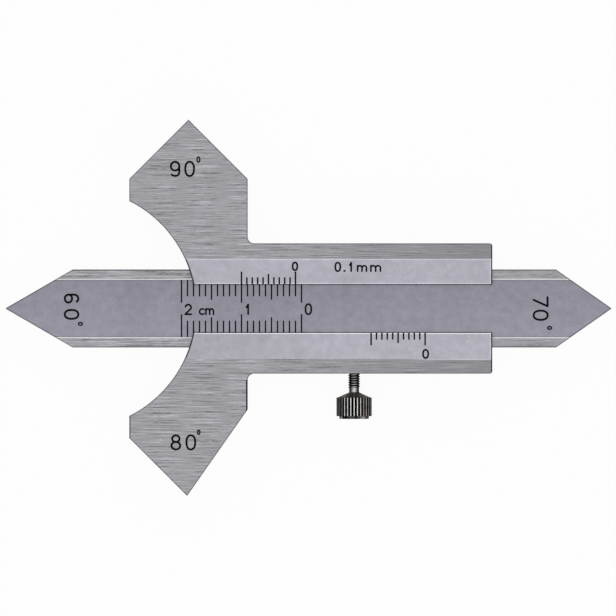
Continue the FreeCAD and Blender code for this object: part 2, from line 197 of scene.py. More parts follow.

# How much lighter or darker a place is than the metal round it, as a share of the colour; most of
# these are painted highlights and painted shade
BODY_EDGE_SHADE_TONE, SLIDE_EDGE_SHADE_TONE, SLIDE_RIM_SHADE_TONE = -0.45, -0.65, -0.35
HOLE_RIM_HIGHLIGHT_TONE, LOWER_BEVEL_DARKENING_TONE, EDGE_SHADOW_TONE = 0.6, -0.09, -0.95
FAR_HIGHLIGHT_TONE, END_HIGHLIGHT_TONE, DARK_EDGE_TONE = 1.5, 0.3, -0.9
TOP_HIGHLIGHT_TONE, LOWER_LIP_HIGHLIGHT_TONE, UPPER_LIP_HIGHLIGHT_TONE = 0.4, 1.5, 0.8
BAND_FOOT_SHADE_TONE, TIP_EDGE_SHADE_TONE, THREAD_TONE = -0.35, -0.55, -0.6

# The lower land's share of the dark edges' tone, the band's brightness in the middle of its
# length, which is painted shade under the sleeve, and its change per millimetre across, which is
# painted light
LAND_EDGE_SHARE, BAND_SHADED_MIDDLE, BAND_LIGHT_TILT = 0.7, 0.96, -0.015

# Roughness in the middle of each finish, and how far streaks and grains swing it
BODY_ROUGHNESS, BEVEL_ROUGHNESS = 0.36, 0.42
SLIDE_ROUGHNESS, BAND_ROUGHNESS = 0.34, 0.46
BRASS_ROUGHNESS, OXIDE_ROUGHNESS, RUBBED_ROUGHNESS = 0.34, 0.36, 0.26
LINE_ROUGHNESS, FILLING_ROUGHNESS = 0.6, 0.55
STREAK_SWING, BRASS_SWING, SATIN_SWING, OXIDE_SWING = 0.3, 0.2, 0.1, 0.2

# Relief of each finish in micrometres, and a satin face's share of it
BODY_RELIEF, SLIDE_RELIEF, BRASS_RELIEF, OXIDE_RELIEF, FILLING_RELIEF = 6.0, 5.0, 4.0, 1.5, 3.0
BEVEL_RELIEF_SHARE, BAND_RELIEF_SHARE = 0.25, 0.3

# Wear and painted light on the screw: how bright each place is rubbed or given a painted highlight,
# the share that the painted shade at the sides keeps, and where around it each starts and ends
CREST_WEAR_AND_HIGHLIGHT, NECK_HIGHLIGHT, CONE_HIGHLIGHT, RIM_WEAR = 0.65, 0.75, 0.3, 0.4
SHANK_SHADED_SHARE, GRIP_SHADED_SHARE = 0.1, 0.28
TOOTH_SHARPNESS, CREST_SHARPNESS = 5.0, 6.0
LIT_TOP_FACING, LIT_TOP_BESIDE = (0.7, 0.8), (0.46, 0.36)
SHANK_LIT_FACING, CONE_HIGHLIGHT_FACING = (0.8, 1.0), (0.88, 1.0)
BROWN_AND_LIT_FACING, PATCH_START, PATCH_END = (0.1, 0.7), (0.38, 0.44), (0.8, 0.74)
PATCH_SHARE, PATCH_MARGIN = 0.9, 0.08
WORN_RIM, RIM_PATCHES = 0.3, (0.5, 0.6)
WEAR_AND_HIGHLIGHT_SWING, WEAR_AND_HIGHLIGHT_MIDDLE = 1.0, 0.9

# How much less metallic the worn knurl with its painted highlight, and the painted highlight on the
# step beside the band, look
WEAR_AND_HIGHLIGHT_METAL_LOSS, STEP_HIGHLIGHT_METAL_LOSS = -0.55, -0.85

# A surface's upward part, from 0 on an upright face to 1 on a level one
TURNED_UP, HALF_UP, LEVEL = 0.3, 0.5, 0.9

# Sockets of Blender's colour mixing node, whose names repeat
MIX_FIRST, MIX_SECOND, MIX_RESULT = 6, 7, 2


def shade(red, green, blue):
    """A colour given as screen values from 0 to 255, as the linear colour that the shaders take."""
    linear = []
    for value in (red, green, blue):
        share = value / 255
        linear.append(share / 12.92 if share <= 0.04045 else ((share + 0.055) / 1.055) ** 2.4)
    return (*linear, 1.0)


GROUND_STEEL = shade(164, 163, 168)
SLEEVE_STEEL = shade(145, 144, 149)
SATIN_STEEL = shade(184, 182, 192)
BAND_STEEL = shade(157, 155, 167)
# The milled channel's steel, darker as painted shade under the lips
SHADED_CHANNEL_STEEL = shade(120, 119, 124)
BLACK_FILLING = shade(6, 6, 8)
# Near white for the painted highlight on the slide's step
STEP_HIGHLIGHT_WHITE = shade(252, 251, 255)
ROLLED_BRASS = shade(206, 170, 98)
OXIDE_BLACK = shade(44, 41, 40)
BROWN_OXIDE = shade(158, 150, 145)
RUBBED_AND_HIGHLIT_OXIDE = shade(250, 246, 246)
FLOOR_WHITE = shade(246, 246, 246)
WHITE = (1.0, 1.0, 1.0, 1.0)
DARK_RIM = (0.1, 0.1, 0.1, 1.0)
LACQUER_GLOSS = 0.06


# Node trees

def feed(tree, socket, value):
    """Link a socket into an input, or set the input's own value."""
    if isinstance(value, bpy.types.NodeSocket):
        tree.links.new(value, socket)
    else:
        socket.default_value = value


def add(tree, kind, inputs=None, **settings):
    """One node with its settings, and its inputs as values or as sockets to link from."""
    made = tree.nodes.new(kind)
    for name, value in settings.items():
        setattr(made, name, value)
    for name, value in (inputs or {}).items():
        feed(tree, made.inputs[name], value)
    return made


def maths(tree, operation, *terms):
    """The result of one arithmetic step on numbers or sockets."""
    step = add(tree, "ShaderNodeMath", operation=operation)
    for socket, term in zip(step.inputs, terms):
        feed(tree, socket, term)
    return step.outputs[0]


def product(tree, first, *others):
    """All the terms multiplied together."""
    for term in others:
        first = maths(tree, "MULTIPLY", first, term)
    return first


def strongest(tree, first, *others):
    """The highest of several masks."""
    for mask in others:
        first = maths(tree, "MAXIMUM", first, mask)
    return first


def over(tree, value, limit):
    """A mask that is 1 where the value lies over a limit."""
    return maths(tree, "GREATER_THAN", value, limit)


def under(tree, value, limit):
    """A mask that is 1 where the value lies under a limit."""
    return maths(tree, "LESS_THAN", value, limit)


def between(tree, value, low, high):
    """A mask that is 1 where the value lies between two limits."""
    return product(tree, over(tree, value, low), under(tree, value, high))


def opposite(tree, mask):
    """A mask that is 0 where the given one is 1."""
    return maths(tree, "SUBTRACT", 1.0, mask)


def ramp(tree, value, start, end):
    """A value turned into a mask that rises from 0 to 1 between two limits."""
    scaled = maths(tree, "DIVIDE", maths(tree, "SUBTRACT", value, start), end - start)
    return maths(tree, "MINIMUM", maths(tree, "MAXIMUM", scaled, 0.0), 1.0)


def choose(tree, share, first, second):
    """Two numbers mixed by a mask."""
    return maths(tree, "MULTIPLY_ADD", maths(tree, "SUBTRACT", second, first), share, first)


def swing(tree, value, amount, middle=1.0):
    """A value that runs from 0 to 1, turned into one that swings about the middle."""
    centred = maths(tree, "SUBTRACT", value, 0.5)
    return maths(tree, "MULTIPLY_ADD", centred, amount, middle)


def hypotenuse(tree, across, along):
    """The distance of a point from the origin of two values."""
    squares = maths(tree, "MULTIPLY_ADD", across, across, product(tree, along, along))
    return maths(tree, "SQRT", squares)


def mix(tree, share, first, second, mode="MIX"):
    """Two colours mixed by a mask."""
    node = add(tree, "ShaderNodeMix", data_type="RGBA", blend_type=mode)
    feed(tree, node.inputs[0], share)
    feed(tree, node.inputs[MIX_FIRST], first)
    feed(tree, node.inputs[MIX_SECOND], second)
    return node.outputs[MIX_RESULT]


def tinted(tree, colour, factor):
    """A colour made lighter or darker by a factor that changes over the surface."""
    grey = add(tree, "ShaderNodeCombineColor", {"Red": factor, "Green": factor, "Blue": factor})
    return mix(tree, 1.0, colour, grey.outputs[0], "MULTIPLY")


def toned(tree, colour, mask, tone):
    """A colour made lighter or darker by a tone where a mask is 1."""
    return tinted(tree, colour, maths(tree, "MULTIPLY_ADD", mask, tone, 1.0))


def varied(tree, colour, pattern, contrast):
    """A colour that a pattern makes lighter and darker."""
    return tinted(tree, colour, swing(tree, pattern, contrast))


def place(tree):
    """The piece's own coordinates in millimetres, and the upward part of its surface normal."""
    coordinates = add(tree, "ShaderNodeTexCoord").outputs
    in_mm = add(tree, "ShaderNodeVectorMath", operation="SCALE")
    feed(tree, in_mm.inputs["Vector"], coordinates["Object"])
    feed(tree, in_mm.inputs["Scale"], 1 / MM)
    x, y, z = add(tree, "ShaderNodeSeparateXYZ", {"Vector": in_mm.outputs[0]}).outputs
    up = add(tree, "ShaderNodeSeparateXYZ", {"Vector": coordinates["Normal"]}).outputs[2]
    return x, y, z, up


def noise(tree, x, y, z, detail=2.0):
    """Noise whose grains are about one unit wide along each of the three values given."""
    where = add(tree, "ShaderNodeCombineXYZ", {"X": x, "Y": y, "Z": z}).outputs[0]
    return add(tree, "ShaderNodeTexNoise", {
        "Vector": where, "Scale": 1.0, "Detail": detail, "Roughness": 0.6}).outputs[0]


def even_noise(tree, rate, detail=2.0):
    """Noise with the same number of grains per millimetre every way."""
    return noise(tree, *(product(tree, way, rate) for way in place(tree)[:3]), detail=detail)


def node_group(name, inputs, output):
    """An empty node group with number inputs and one output: itself and its inner sockets."""
    group = bpy.data.node_groups.new(name, "ShaderNodeTree")
    for label, value in inputs.items():
        socket = group.interface.new_socket(label, in_out="INPUT", socket_type="NodeSocketFloat")
        socket.default_value = value
    group.interface.new_socket(output, in_out="OUTPUT", socket_type="NodeSocketFloat")
    given = add(group, "NodeGroupInput").outputs
    result = add(group, "NodeGroupOutput").inputs[0]
    return group, given, result


# Effects that more than one finish uses

def make_grinding_marks():
    """Straight fine scratches along X on level faces, and along the edge on upright ones."""
    group, given, result = node_group(
        "grinding_marks", {"Marks per mm": 5.0, "Mark Length": 2.0}, "Streak")
    x, y, z, up = place(group)
    marks = given["Marks per mm"]
    lengthwise = maths(group, "DIVIDE", 1.0, given["Mark Length"])
    level = over(group, maths(group, "ABSOLUTE", up), HALF_UP)
    stretch, patch_rate = 0.2, 0.5
    patch_limits, calm, rise = (0.42, 0.62), 0.2, 1.8
    darkest, brightest = 0.25, 0.75

    crosswise = choose(group, level, product(group, lengthwise, stretch), marks)
    line = noise(group, product(group, x, lengthwise, stretch), product(group, y, crosswise),
                 product(group, z, marks), detail=0.0)
    crosswise = choose(group, level, lengthwise, product(group, marks, patch_rate))
    patches = noise(group, product(group, x, lengthwise), product(group, y, crosswise),
                    product(group, z, marks, patch_rate), detail=1.0)
    strength = maths(group, "MULTIPLY_ADD", ramp(group, patches, *patch_limits), rise, calm)
    streak = maths(group, "MULTIPLY_ADD", maths(group, "SUBTRACT", line, 0.5), strength, 0.5)
    streak = maths(group, "MINIMUM", maths(group, "MAXIMUM", streak, darkest), brightest)
    feed(group, result, streak)
    return group


def make_satin_grain():
    """The even grain of a blasted or etched face."""
    group, given, result = node_group("satin_grain", {"Grains per mm": 9.0}, "Grain")
    feed(group, result, even_noise(group, given["Grains per mm"]))
    return group


def make_handling_haze():
    """Wide soft clouds that fingers and oil leave on steel."""
    group, given, result = node_group("handling_haze", {"Cloud Size": 7.0}, "Haze")
    spread = maths(group, "DIVIDE", 1.0, given["Cloud Size"])
    feed(group, result, even_noise(group, spread, detail=4.0))
    return group


def make_filled_lines():
    """Where the surface lies in a line cut into a face that starts at Rim and rises by Slope."""
    group, given, result = node_group("filled_lines", {
        "Rim": 4.2, "Start": 0.0, "Slope": 0.0, "Reach": 5.0, "From X": -1.0, "To X": 1.0}, "Fill")
    x, y, z, _ = place(group)
    reach = maths(group, "ABSOLUTE", y)
    face = maths(group, "MULTIPLY_ADD", maths(group, "SUBTRACT", reach, given["Start"]),
                 given["Slope"], given["Rim"])
    depth = maths(group, "SUBTRACT", face, z)
    feed(group, result, product(
        group,
        between(group, depth, *FILLED_DEPTH),
        between(group, reach, given["Start"], given["Reach"]),
        between(group, x, given["From X"], given["To X"])))
    return group


def make_edge_highlight():
    """A thin painted highlight on both sides of the slide's axis, along an edge."""
    group, given, result = node_group("edge_highlight", {"Distance": 5.0, "Width": 0.1}, "Highlight")
    reach = maths(group, "ABSOLUTE", place(group)[1])
    off = maths(group, "ABSOLUTE", maths(group, "SUBTRACT", reach, given["Distance"]))
    line_highlight = opposite(group, maths(group, "DIVIDE", off, given["Width"]))
    feed(group, result, maths(group, "MAXIMUM", line_highlight, 0.0))
    return group


def make_broken_edge():
    """The narrow chamfers round the outline, which face neither up nor sideways; the steels give
    them painted shade.
    """
    group, given, result = node_group("broken_edge", {"From Up": 0.5, "To Up": 0.85}, "Chamfer")
    up = maths(group, "ABSOLUTE", place(group)[3])
    feed(group, result, between(group, up, given["From Up"], given["To Up"]))
    return group


GRINDING_MARKS = make_grinding_marks()
SATIN_GRAIN = make_satin_grain()
HANDLING_HAZE = make_handling_haze()
FILLED_LINES = make_filled_lines()
EDGE_HIGHLIGHT = make_edge_highlight()
BROKEN_EDGE = make_broken_edge()


def effect(tree, group, **values):
    """A group placed in a material with its own values: its one output."""
    inputs = {name.replace("_", " "): value for name, value in values.items()}
    return add(tree, "ShaderNodeGroup", inputs, node_tree=group).outputs[0]


# Finishes

def new_finish(name):
    """An empty material: itself, its node tree and its main shader."""
    finish = bpy.data.materials.new(name)
    finish.use_nodes = True
    tree = finish.node_tree
    tree.nodes.clear()
    shader = add(tree, "ShaderNodeBsdfPrincipled")
    output = add(tree, "ShaderNodeOutputMaterial")
    tree.links.new(shader.outputs[0], output.inputs["Surface"])
    return finish, tree, shader


def set_shader(tree, shader, colour, metallic, roughness, height, relief):
    """Feed the main shader; the height runs from 0 to 1 and the relief is in micrometres."""
    bump = add(tree, "ShaderNodeBump", {
        "Strength": 1.0, "Distance": relief * MICROMETRE, "Height": height})
    feed(tree, shader.inputs["Base Color"], colour)
    feed(tree, shader.inputs["Metallic"], metallic)
    feed(tree, shader.inputs["Roughness"], roughness)
    feed(tree, shader.inputs["Normal"], bump.outputs[0])


def body_verniers(tree):
    """The black-filled lines of both verniers."""
    margin = VERNIER_LINE_WIDTH
    return strongest(tree, *(
        effect(tree, FILLED_LINES, Rim=LIP_TOP, Start=VERNIER_START, Slope=BEVEL_SLOPE,
               Reach=VERNIER_REACH, From_X=zero - VERNIER_LENGTH - margin, To_X=zero + margin)
        for zero in (FILLET_VERNIER_ZERO, BUTT_VERNIER_ZERO)))


def body_dark_edges(tree, x, y):
    """The sharp edges that the light leaves dark: the right end, the lower arm's side and land."""
    end_edge = over(tree, x, END_LINE[1])
    arm_edge = product(tree, between(tree, x, *ARM_LINE), between(tree, y, *ARM_LINE_ENDS))
    land_edge = product(tree, under(tree, x, LAND_LINE), under(tree, y, 0.0), LAND_EDGE_SHARE)
    return strongest(tree, end_edge, arm_edge, land_edge)


def satin_bevel(tree, x, y, grain):
    """The bevels' colour: even satin, with painted highlights along the lips and the upper outer
    edge, and painted shade at its sharp edges.
    """
    reach = maths(tree, "ABSOLUTE", y)
    upper = over(tree, y, 0.0)
    # Painted highlights along the upper bevel's outer edge and the lips' edges, brighter on the
    # lower lip as if lit from the upper side
    top_highlight = product(tree, effect(tree, EDGE_HIGHLIGHT, **TOP_HIGHLIGHT), upper, TOP_HIGHLIGHT_TONE)
    lip_highlight = product(tree, effect(tree, EDGE_HIGHLIGHT, **LIP_HIGHLIGHT),
                      choose(tree, upper, LOWER_LIP_HIGHLIGHT_TONE, UPPER_LIP_HIGHLIGHT_TONE))
    # The lower bevel, a little darker towards the left
    darker_left_end = product(tree, opposite(tree, upper), ramp(tree, x, *LOWER_BEVEL_DARKENING))
    from_notch = hypotenuse(tree, maths(tree, "SUBTRACT", x, NOTCH_CENTRE_X), y)
    # Painted shade along the bevels' edge at the round notch
    notch_edge_shade = ramp(tree, from_notch, *NOTCH_LINE)
    # A painted shadow at the lips' sharp edge, where the lip shades the slide
    lip_edge_shadow = under(tree, reach, LIP_LINE)

    satin = varied(tree, SATIN_STEEL, grain, GRAIN_CONTRAST)
    satin = varied(tree, satin, effect(tree, HANDLING_HAZE, Cloud_Size=SATIN_CLOUD),
                   BEVEL_CLOUD_CONTRAST)
    satin = toned(tree, satin, darker_left_end, LOWER_BEVEL_DARKENING_TONE)
    # Add the painted highlights
    satin = toned(tree, satin, maths(tree, "ADD", top_highlight, lip_highlight), 1.0)
    # Paint the shadow at the lips' edge and the shade at the notch's edge
    satin = toned(tree, satin, lip_edge_shadow, EDGE_SHADOW_TONE)
    return toned(tree, satin, notch_edge_shade, EDGE_SHADOW_TONE)


def ground_body_steel():
    """Stainless steel ground along the slide, with satin bevels and a milled channel painted darker
    as shade.
    """
    finish, tree, shader = new_finish("ground_body_steel")
    x, y, z, up = place(tree)
    reach = maths(tree, "ABSOLUTE", y)
    facing_up = over(tree, up, TURNED_UP)
    streak = effect(tree, GRINDING_MARKS, **GROUND_MARKS)
    grain = effect(tree, SATIN_GRAIN, Grains_per_mm=BEVEL_GRAINS)
    haze = effect(tree, HANDLING_HAZE, Cloud_Size=BODY_CLOUD)

    bevel_limit = choose(tree, over(tree, y, 0.0), LOWER_BEVEL_LIMIT, UPPER_BEVEL_LIMIT)
    bevel = product(tree, between(tree, up, *BEVEL_FACING), under(tree, reach, bevel_limit))
    # The channel under the lips, whose steel is painted darker as shade
    shaded_channel = product(tree, under(tree, reach, CHANNEL_HALF_WIDTH),
                      between(tree, z, CHANNEL_FLOOR, CHANNEL_ROOF))
    sleeve = product(tree, under(tree, reach, SLEEVE_SIDE),
                     ramp(tree, x, SLEEVE_START, BODY_HIGH.x))
    # A painted highlight on the tapped hole's chamfer at the sleeve's edge, just above the screw
    hole_rim_highlight = product(tree, between(tree, y, *HOLE_RIM), between(tree, x, *HOLE_RIM_ENDS),
                       facing_up)
    # A painted highlight along the lower strip's edge beside the bevel, towards the right end
    far_highlight = product(tree, effect(tree, EDGE_HIGHLIGHT, **FAR_HIGHLIGHT), under(tree, y, 0.0),
                      ramp(tree, x, *FAR_END), facing_up)
    # A painted highlight on the bevels just inside the sleeve's right end
    end_highlight = product(tree, between(tree, x, *END_LINE), bevel)
    dark_edge = product(tree, body_dark_edges(tree, x, y), facing_up)
    filled = body_verniers(tree)

    colour = mix(tree, sleeve, GROUND_STEEL, SLEEVE_STEEL)
    colour = varied(tree, colour, streak, choose(tree, sleeve, ARM_CONTRAST, SLEEVE_CONTRAST))
    # Painted shade on the chamfers, in place of the dark surroundings that they reflect
    colour = toned(tree, colour, effect(tree, BROKEN_EDGE), BODY_EDGE_SHADE_TONE)
    colour = toned(tree, colour, hole_rim_highlight, HOLE_RIM_HIGHLIGHT_TONE)
    colour = mix(tree, shaded_channel, colour, SHADED_CHANNEL_STEEL)
    colour = mix(tree, bevel, colour, satin_bevel(tree, x, y, grain))
    colour = toned(tree, colour, far_highlight, FAR_HIGHLIGHT_TONE)
    colour = toned(tree, colour, end_highlight, END_HIGHLIGHT_TONE)
    colour = toned(tree, colour, dark_edge, DARK_EDGE_TONE)
    colour = varied(tree, colour, haze, HAZE_CONTRAST)
    colour = mix(tree, filled, colour, BLACK_FILLING)
    roughness = choose(tree, bevel, swing(tree, streak, STREAK_SWING, BODY_ROUGHNESS),
                       swing(tree, grain, SATIN_SWING, BEVEL_ROUGHNESS))
    roughness = choose(tree, filled, roughness, LINE_ROUGHNESS)
    height = choose(tree, bevel, streak, product(tree, grain, BEVEL_RELIEF_SHARE))
    set_shader(tree, shader, colour, opposite(tree, filled), roughness, height, BODY_RELIEF)
    shader.inputs["Specular IOR Level"].default_value = LACQUER_GLOSS
    return finish


def slide_tip_edge_shade(tree, x, reach):
    """The thin dark line of painted shade along the four edges that meet in the slide's two points.
    """
    inside = []
    for tip, way, angle in zip((SLIDE_LOW.x, SLIDE_HIGH.x), (1, -1), TIP_HALF_ANGLES):
        lean = way * math.sin(angle)
        along = maths(tree, "MULTIPLY_ADD", x, lean, -tip * lean)
        inside.append(maths(tree, "MULTIPLY_ADD", reach, -math.cos(angle), along))
    return product(tree, under(tree, maths(tree, "MINIMUM", *inside), TIP_LINE),
                   under(tree, reach, BAND_EDGE))


def matt_band(tree, x, y, reach, grain):
    """The sunk band's colour: even matt grain, with painted shade at its foot and under the sleeve,
    and darker towards the upper arm by painted light.
    """
    near_tips = ramp(tree, maths(tree, "ABSOLUTE", x), *NEAR_TIPS)
    # Painted shade in the corner at the band's foot
    foot_shade = between(tree, reach, *BAND_FOOT_LINE)
    matt = varied(tree, BAND_STEEL, grain, GRAIN_CONTRAST)
    matt = varied(tree, matt, effect(tree, HANDLING_HAZE, Cloud_Size=SATIN_CLOUD),
                  BAND_CLOUD_CONTRAST)
    # Painted shade under the sleeve, lighter near the tips, and painted light that darkens the band
    # towards the upper arm
    matt = tinted(tree, matt, maths(
        tree, "MULTIPLY_ADD", y, BAND_LIGHT_TILT, choose(tree, near_tips, BAND_SHADED_MIDDLE, 1.0)))
    return toned(tree, matt, foot_shade, BAND_FOOT_SHADE_TONE)


def ground_slide_steel():
    """The slide: ground edge strips and back, a sunk matt band with the black-filled scale, and a
    painted highlight on the step.
    """
    finish, tree, shader = new_finish("ground_slide_steel")
    x, y, _, up = place(tree)
    reach = maths(tree, "ABSOLUTE", y)
    facing_up = over(tree, up, TURNED_UP)
    level = over(tree, up, LEVEL)
    streak = effect(tree, GRINDING_MARKS, **GROUND_MARKS)
    grain = effect(tree, SATIN_GRAIN, Grains_per_mm=BAND_GRAINS)
    haze = effect(tree, HANDLING_HAZE, Cloud_Size=SLIDE_CLOUD)

    band = product(tree, under(tree, reach, BAND_FOOT), level)
    # The sloping step beside the band, which gets a painted highlight
    step = product(tree, between(tree, reach, *BAND_STEP), facing_up)
    broken_edge = product(tree, effect(tree, BROKEN_EDGE), over(tree, reach, BAND_EDGE))
    # A painted dark outline just inside the slide's long edges
    rim_shade = product(tree, ramp(tree, reach, *SLIDE_RIM), level)
    tip_edge_shade = product(tree, slide_tip_edge_shade(tree, x, reach), facing_up)
    contrast = choose(tree, ramp(tree, x, *RIGHT_STRIPS), SLIDE_CONTRAST, RIGHT_STRIP_CONTRAST)
    filled = effect(tree, FILLED_LINES, Rim=BAND_FACE, Reach=BAND_EDGE,
                    From_X=SCALE_ZERO - SCALE_LENGTH - LINE_WIDTH, To_X=SCALE_ZERO + LINE_WIDTH)

    colour = varied(tree, GROUND_STEEL, streak, contrast)
    # Painted shade on the chamfers of the edge strips, in place of the dark surroundings that they
    # reflect
    colour = toned(tree, colour, broken_edge, SLIDE_EDGE_SHADE_TONE)
    colour = toned(tree, colour, rim_shade, SLIDE_RIM_SHADE_TONE)
    colour = mix(tree, band, colour, matt_band(tree, x, y, reach, grain))
    colour = varied(tree, colour, haze, HAZE_CONTRAST)
    # The painted highlight on the step
    colour = mix(tree, step, colour, STEP_HIGHLIGHT_WHITE)
    # Painted shade along the tips' edges
    colour = toned(tree, colour, tip_edge_shade, TIP_EDGE_SHADE_TONE)
    colour = mix(tree, filled, colour, BLACK_FILLING)
    roughness = choose(tree, band, swing(tree, streak, STREAK_SWING, SLIDE_ROUGHNESS),
                       swing(tree, grain, SATIN_SWING, BAND_ROUGHNESS))
    roughness = choose(tree, filled, roughness, LINE_ROUGHNESS)
    height = choose(tree, band, streak, product(tree, grain, BAND_RELIEF_SHARE))
    metal = maths(tree, "MULTIPLY_ADD", step, STEP_HIGHLIGHT_METAL_LOSS, 1.0)
    set_shader(tree, shader, colour, maths(tree, "SUBTRACT", metal, filled), roughness, height,
               SLIDE_RELIEF)
    shader.inputs["Specular IOR Level"].default_value = LACQUER_GLOSS
    return finish


def rolled_brass():
    """The gib strip: thin brass as it comes from the rolls."""
    finish, tree, shader = new_finish("rolled_brass")
    streak = effect(tree, GRINDING_MARKS, **ROLLED_MARKS)
    haze = effect(tree, HANDLING_HAZE, Cloud_Size=BRASS_CLOUD)
    colour = varied(tree, ROLLED_BRASS, haze, BRASS_CONTRAST)
    roughness = swing(tree, streak, BRASS_SWING, BRASS_ROUGHNESS)
    set_shader(tree, shader, colour, 1.0, roughness, streak, BRASS_RELIEF)
    return finish


def black_oxide():
    """The clamp screw: black oxide, brown on the cone, its crests rubbed bright by the thumb, with
    a painted highlight along the top and painted shade at the sides.
    """
    finish, tree, shader = new_finish("black_oxide")
    x, y, z, _ = place(tree)
    across = maths(tree, "SUBTRACT", x, SCREW_AXIS.x)
    above = maths(tree, "SUBTRACT", z, SCREW_AXIS.z)
    radius = hypotenuse(tree, across, above)
    facing = maths(tree, "DIVIDE", above, radius)
    beside = maths(tree, "DIVIDE", across, radius)
    haze = effect(tree, HANDLING_HAZE, Cloud_Size=OXIDE_CLOUD)
    grain = effect(tree, SATIN_GRAIN, Grains_per_mm=OXIDE_GRAINS)

    on_end = under(tree, y, GRIP_END)
    on_grip = under(tree, y, GRIP_START + CONE_BREAK)
    on_cone = between(tree, y, GRIP_START - CONE_BREAK, CONE_START)
    on_neck = between(tree, y, CONE_START, SHANK_END)
    on_shank = over(tree, y, SHANK_END)

    tooth = ramp(tree, radius, HEAD_RADIUS - FLUTE_DEPTH, HEAD_RADIUS)
    crest = ramp(tree, radius, THREAD_ROOT, THREAD_RADIUS)
    # Crests rubbed bright, and a painted highlight along the top of the neck and the cone
    wear_and_highlight = strongest(
        tree,
        product(tree, on_grip, maths(tree, "POWER", tooth, TOOTH_SHARPNESS)),
        product(tree, on_shank, maths(tree, "POWER", crest, CREST_SHARPNESS), CREST_WEAR_AND_HIGHLIGHT),
        product(tree, on_neck, NECK_HIGHLIGHT),
        product(tree, on_cone, ramp(tree, facing, *CONE_HIGHLIGHT_FACING), CONE_HIGHLIGHT))
    # Painted light: the upward side keeps the whole brightness, the other sides only a share, as
    # painted shade
    lit_top = product(tree, ramp(tree, facing, *LIT_TOP_FACING), ramp(tree, beside, *LIT_TOP_BESIDE))
    lit_top = choose(tree, on_grip, ramp(tree, facing, *SHANK_LIT_FACING), lit_top)
    shaded_share = choose(tree, on_grip, SHANK_SHADED_SHARE, GRIP_SHADED_SHARE)
    wear_and_highlight = product(tree, wear_and_highlight, choose(tree, lit_top, shaded_share, 1.0))
    worn_rim = product(tree, on_end, ramp(tree, radius, END_RADIUS - WORN_RIM, END_RADIUS),
                       ramp(tree, haze, *RIM_PATCHES), RIM_WEAR)
    wear_and_highlight = product(tree, strongest(tree, wear_and_highlight, worn_rim),
                   swing(tree, haze, WEAR_AND_HIGHLIGHT_SWING, WEAR_AND_HIGHLIGHT_MIDDLE))
    # The cone's brown oxide, laid over its upward side as painted light, black at its sides
    brown_and_lit_cone = product(tree, on_cone, ramp(tree, facing, *BROWN_AND_LIT_FACING))
    brown_patch = product(
        tree, on_grip, ramp(tree, beside, *PATCH_START), ramp(tree, beside, *PATCH_END),
        over(tree, above, 0.0), over(tree, radius, END_RADIUS - PATCH_MARGIN), PATCH_SHARE)

    colour = mix(tree, brown_and_lit_cone, OXIDE_BLACK, BROWN_OXIDE)
    colour = mix(tree, brown_patch, colour, BROWN_OXIDE)
    colour = toned(tree, colour, on_shank, THREAD_TONE)
    colour = varied(tree, colour, haze, OXIDE_CONTRAST)
    # The rubbed crests and the painted highlight, in near white
    colour = mix(tree, wear_and_highlight, colour, RUBBED_AND_HIGHLIT_OXIDE)
    roughness = choose(tree, wear_and_highlight, swing(tree, grain, OXIDE_SWING, OXIDE_ROUGHNESS),
                       RUBBED_ROUGHNESS)
    metal = maths(tree, "MULTIPLY_ADD", product(tree, wear_and_highlight, on_grip), WEAR_AND_HIGHLIGHT_METAL_LOSS, 1.0)
    set_shader(tree, shader, colour, metal, roughness, grain, OXIDE_RELIEF)
    shader.inputs["Specular Tint"].default_value = DARK_RIM
    return finish


def black_filling():
    """The black lacquer in the numerals."""
    finish, tree, shader = new_finish("black_filling")
    grain = effect(tree, SATIN_GRAIN, Grains_per_mm=FILLING_GRAINS)
    colour = varied(tree, BLACK_FILLING, grain, GRAIN_CONTRAST)
    roughness = swing(tree, grain, OXIDE_SWING, FILLING_ROUGHNESS)
    set_shader(tree, shader, colour, 0.0, roughness, grain, FILLING_RELIEF)
    shader.inputs["Specular IOR Level"].default_value = LACQUER_GLOSS
    return finish


# Modelling

def deselect_everything():
    """Leave no object selected, so that an operator acts on the new piece alone."""
    bpy.ops.object.select_all(action="DESELECT")


def draw_profile(name, points):
    """A chain of edges through (distance from the screw's axis, place along Y), point by point."""
    deselect_everything()
    first = Vector((SCREW_AXIS.x + points[0][0], points[0][1], SCREW_AXIS.z))
    bpy.ops.mesh.primitive_plane_add(size=MM, location=first * MM)
    chain = bpy.context.object
    chain.name = name
    bpy.ops.object.mode_set(mode="EDIT")
    bpy.ops.mesh.merge(type="CENTER")
    for (radius, along), (last_radius, last_along) in zip(points[1:], points):
        step = Vector((radius - last_radius, along - last_along, 0)) * MM
        bpy.ops.mesh.extrude_vertices_move(TRANSFORM_OT_translate={"value": step})
    return chain


def settle(piece, smooth_angle=METAL_SMOOTHING):
    """Put the piece's place into its mesh, turn its faces outwards and smooth its rounds."""
    bpy.ops.object.mode_set(mode="EDIT")
    bpy.ops.mesh.select_all(action="SELECT")
    bpy.ops.mesh.remove_doubles(threshold=MERGE_DISTANCE)
    bpy.ops.mesh.normals_make_consistent(inside=False)
    bpy.ops.object.mode_set(mode="OBJECT")
    bpy.ops.object.transform_apply(location=True, rotation=True, scale=True)
    bpy.ops.object.shade_smooth_by_angle(angle=math.radians(smooth_angle))
    return piece


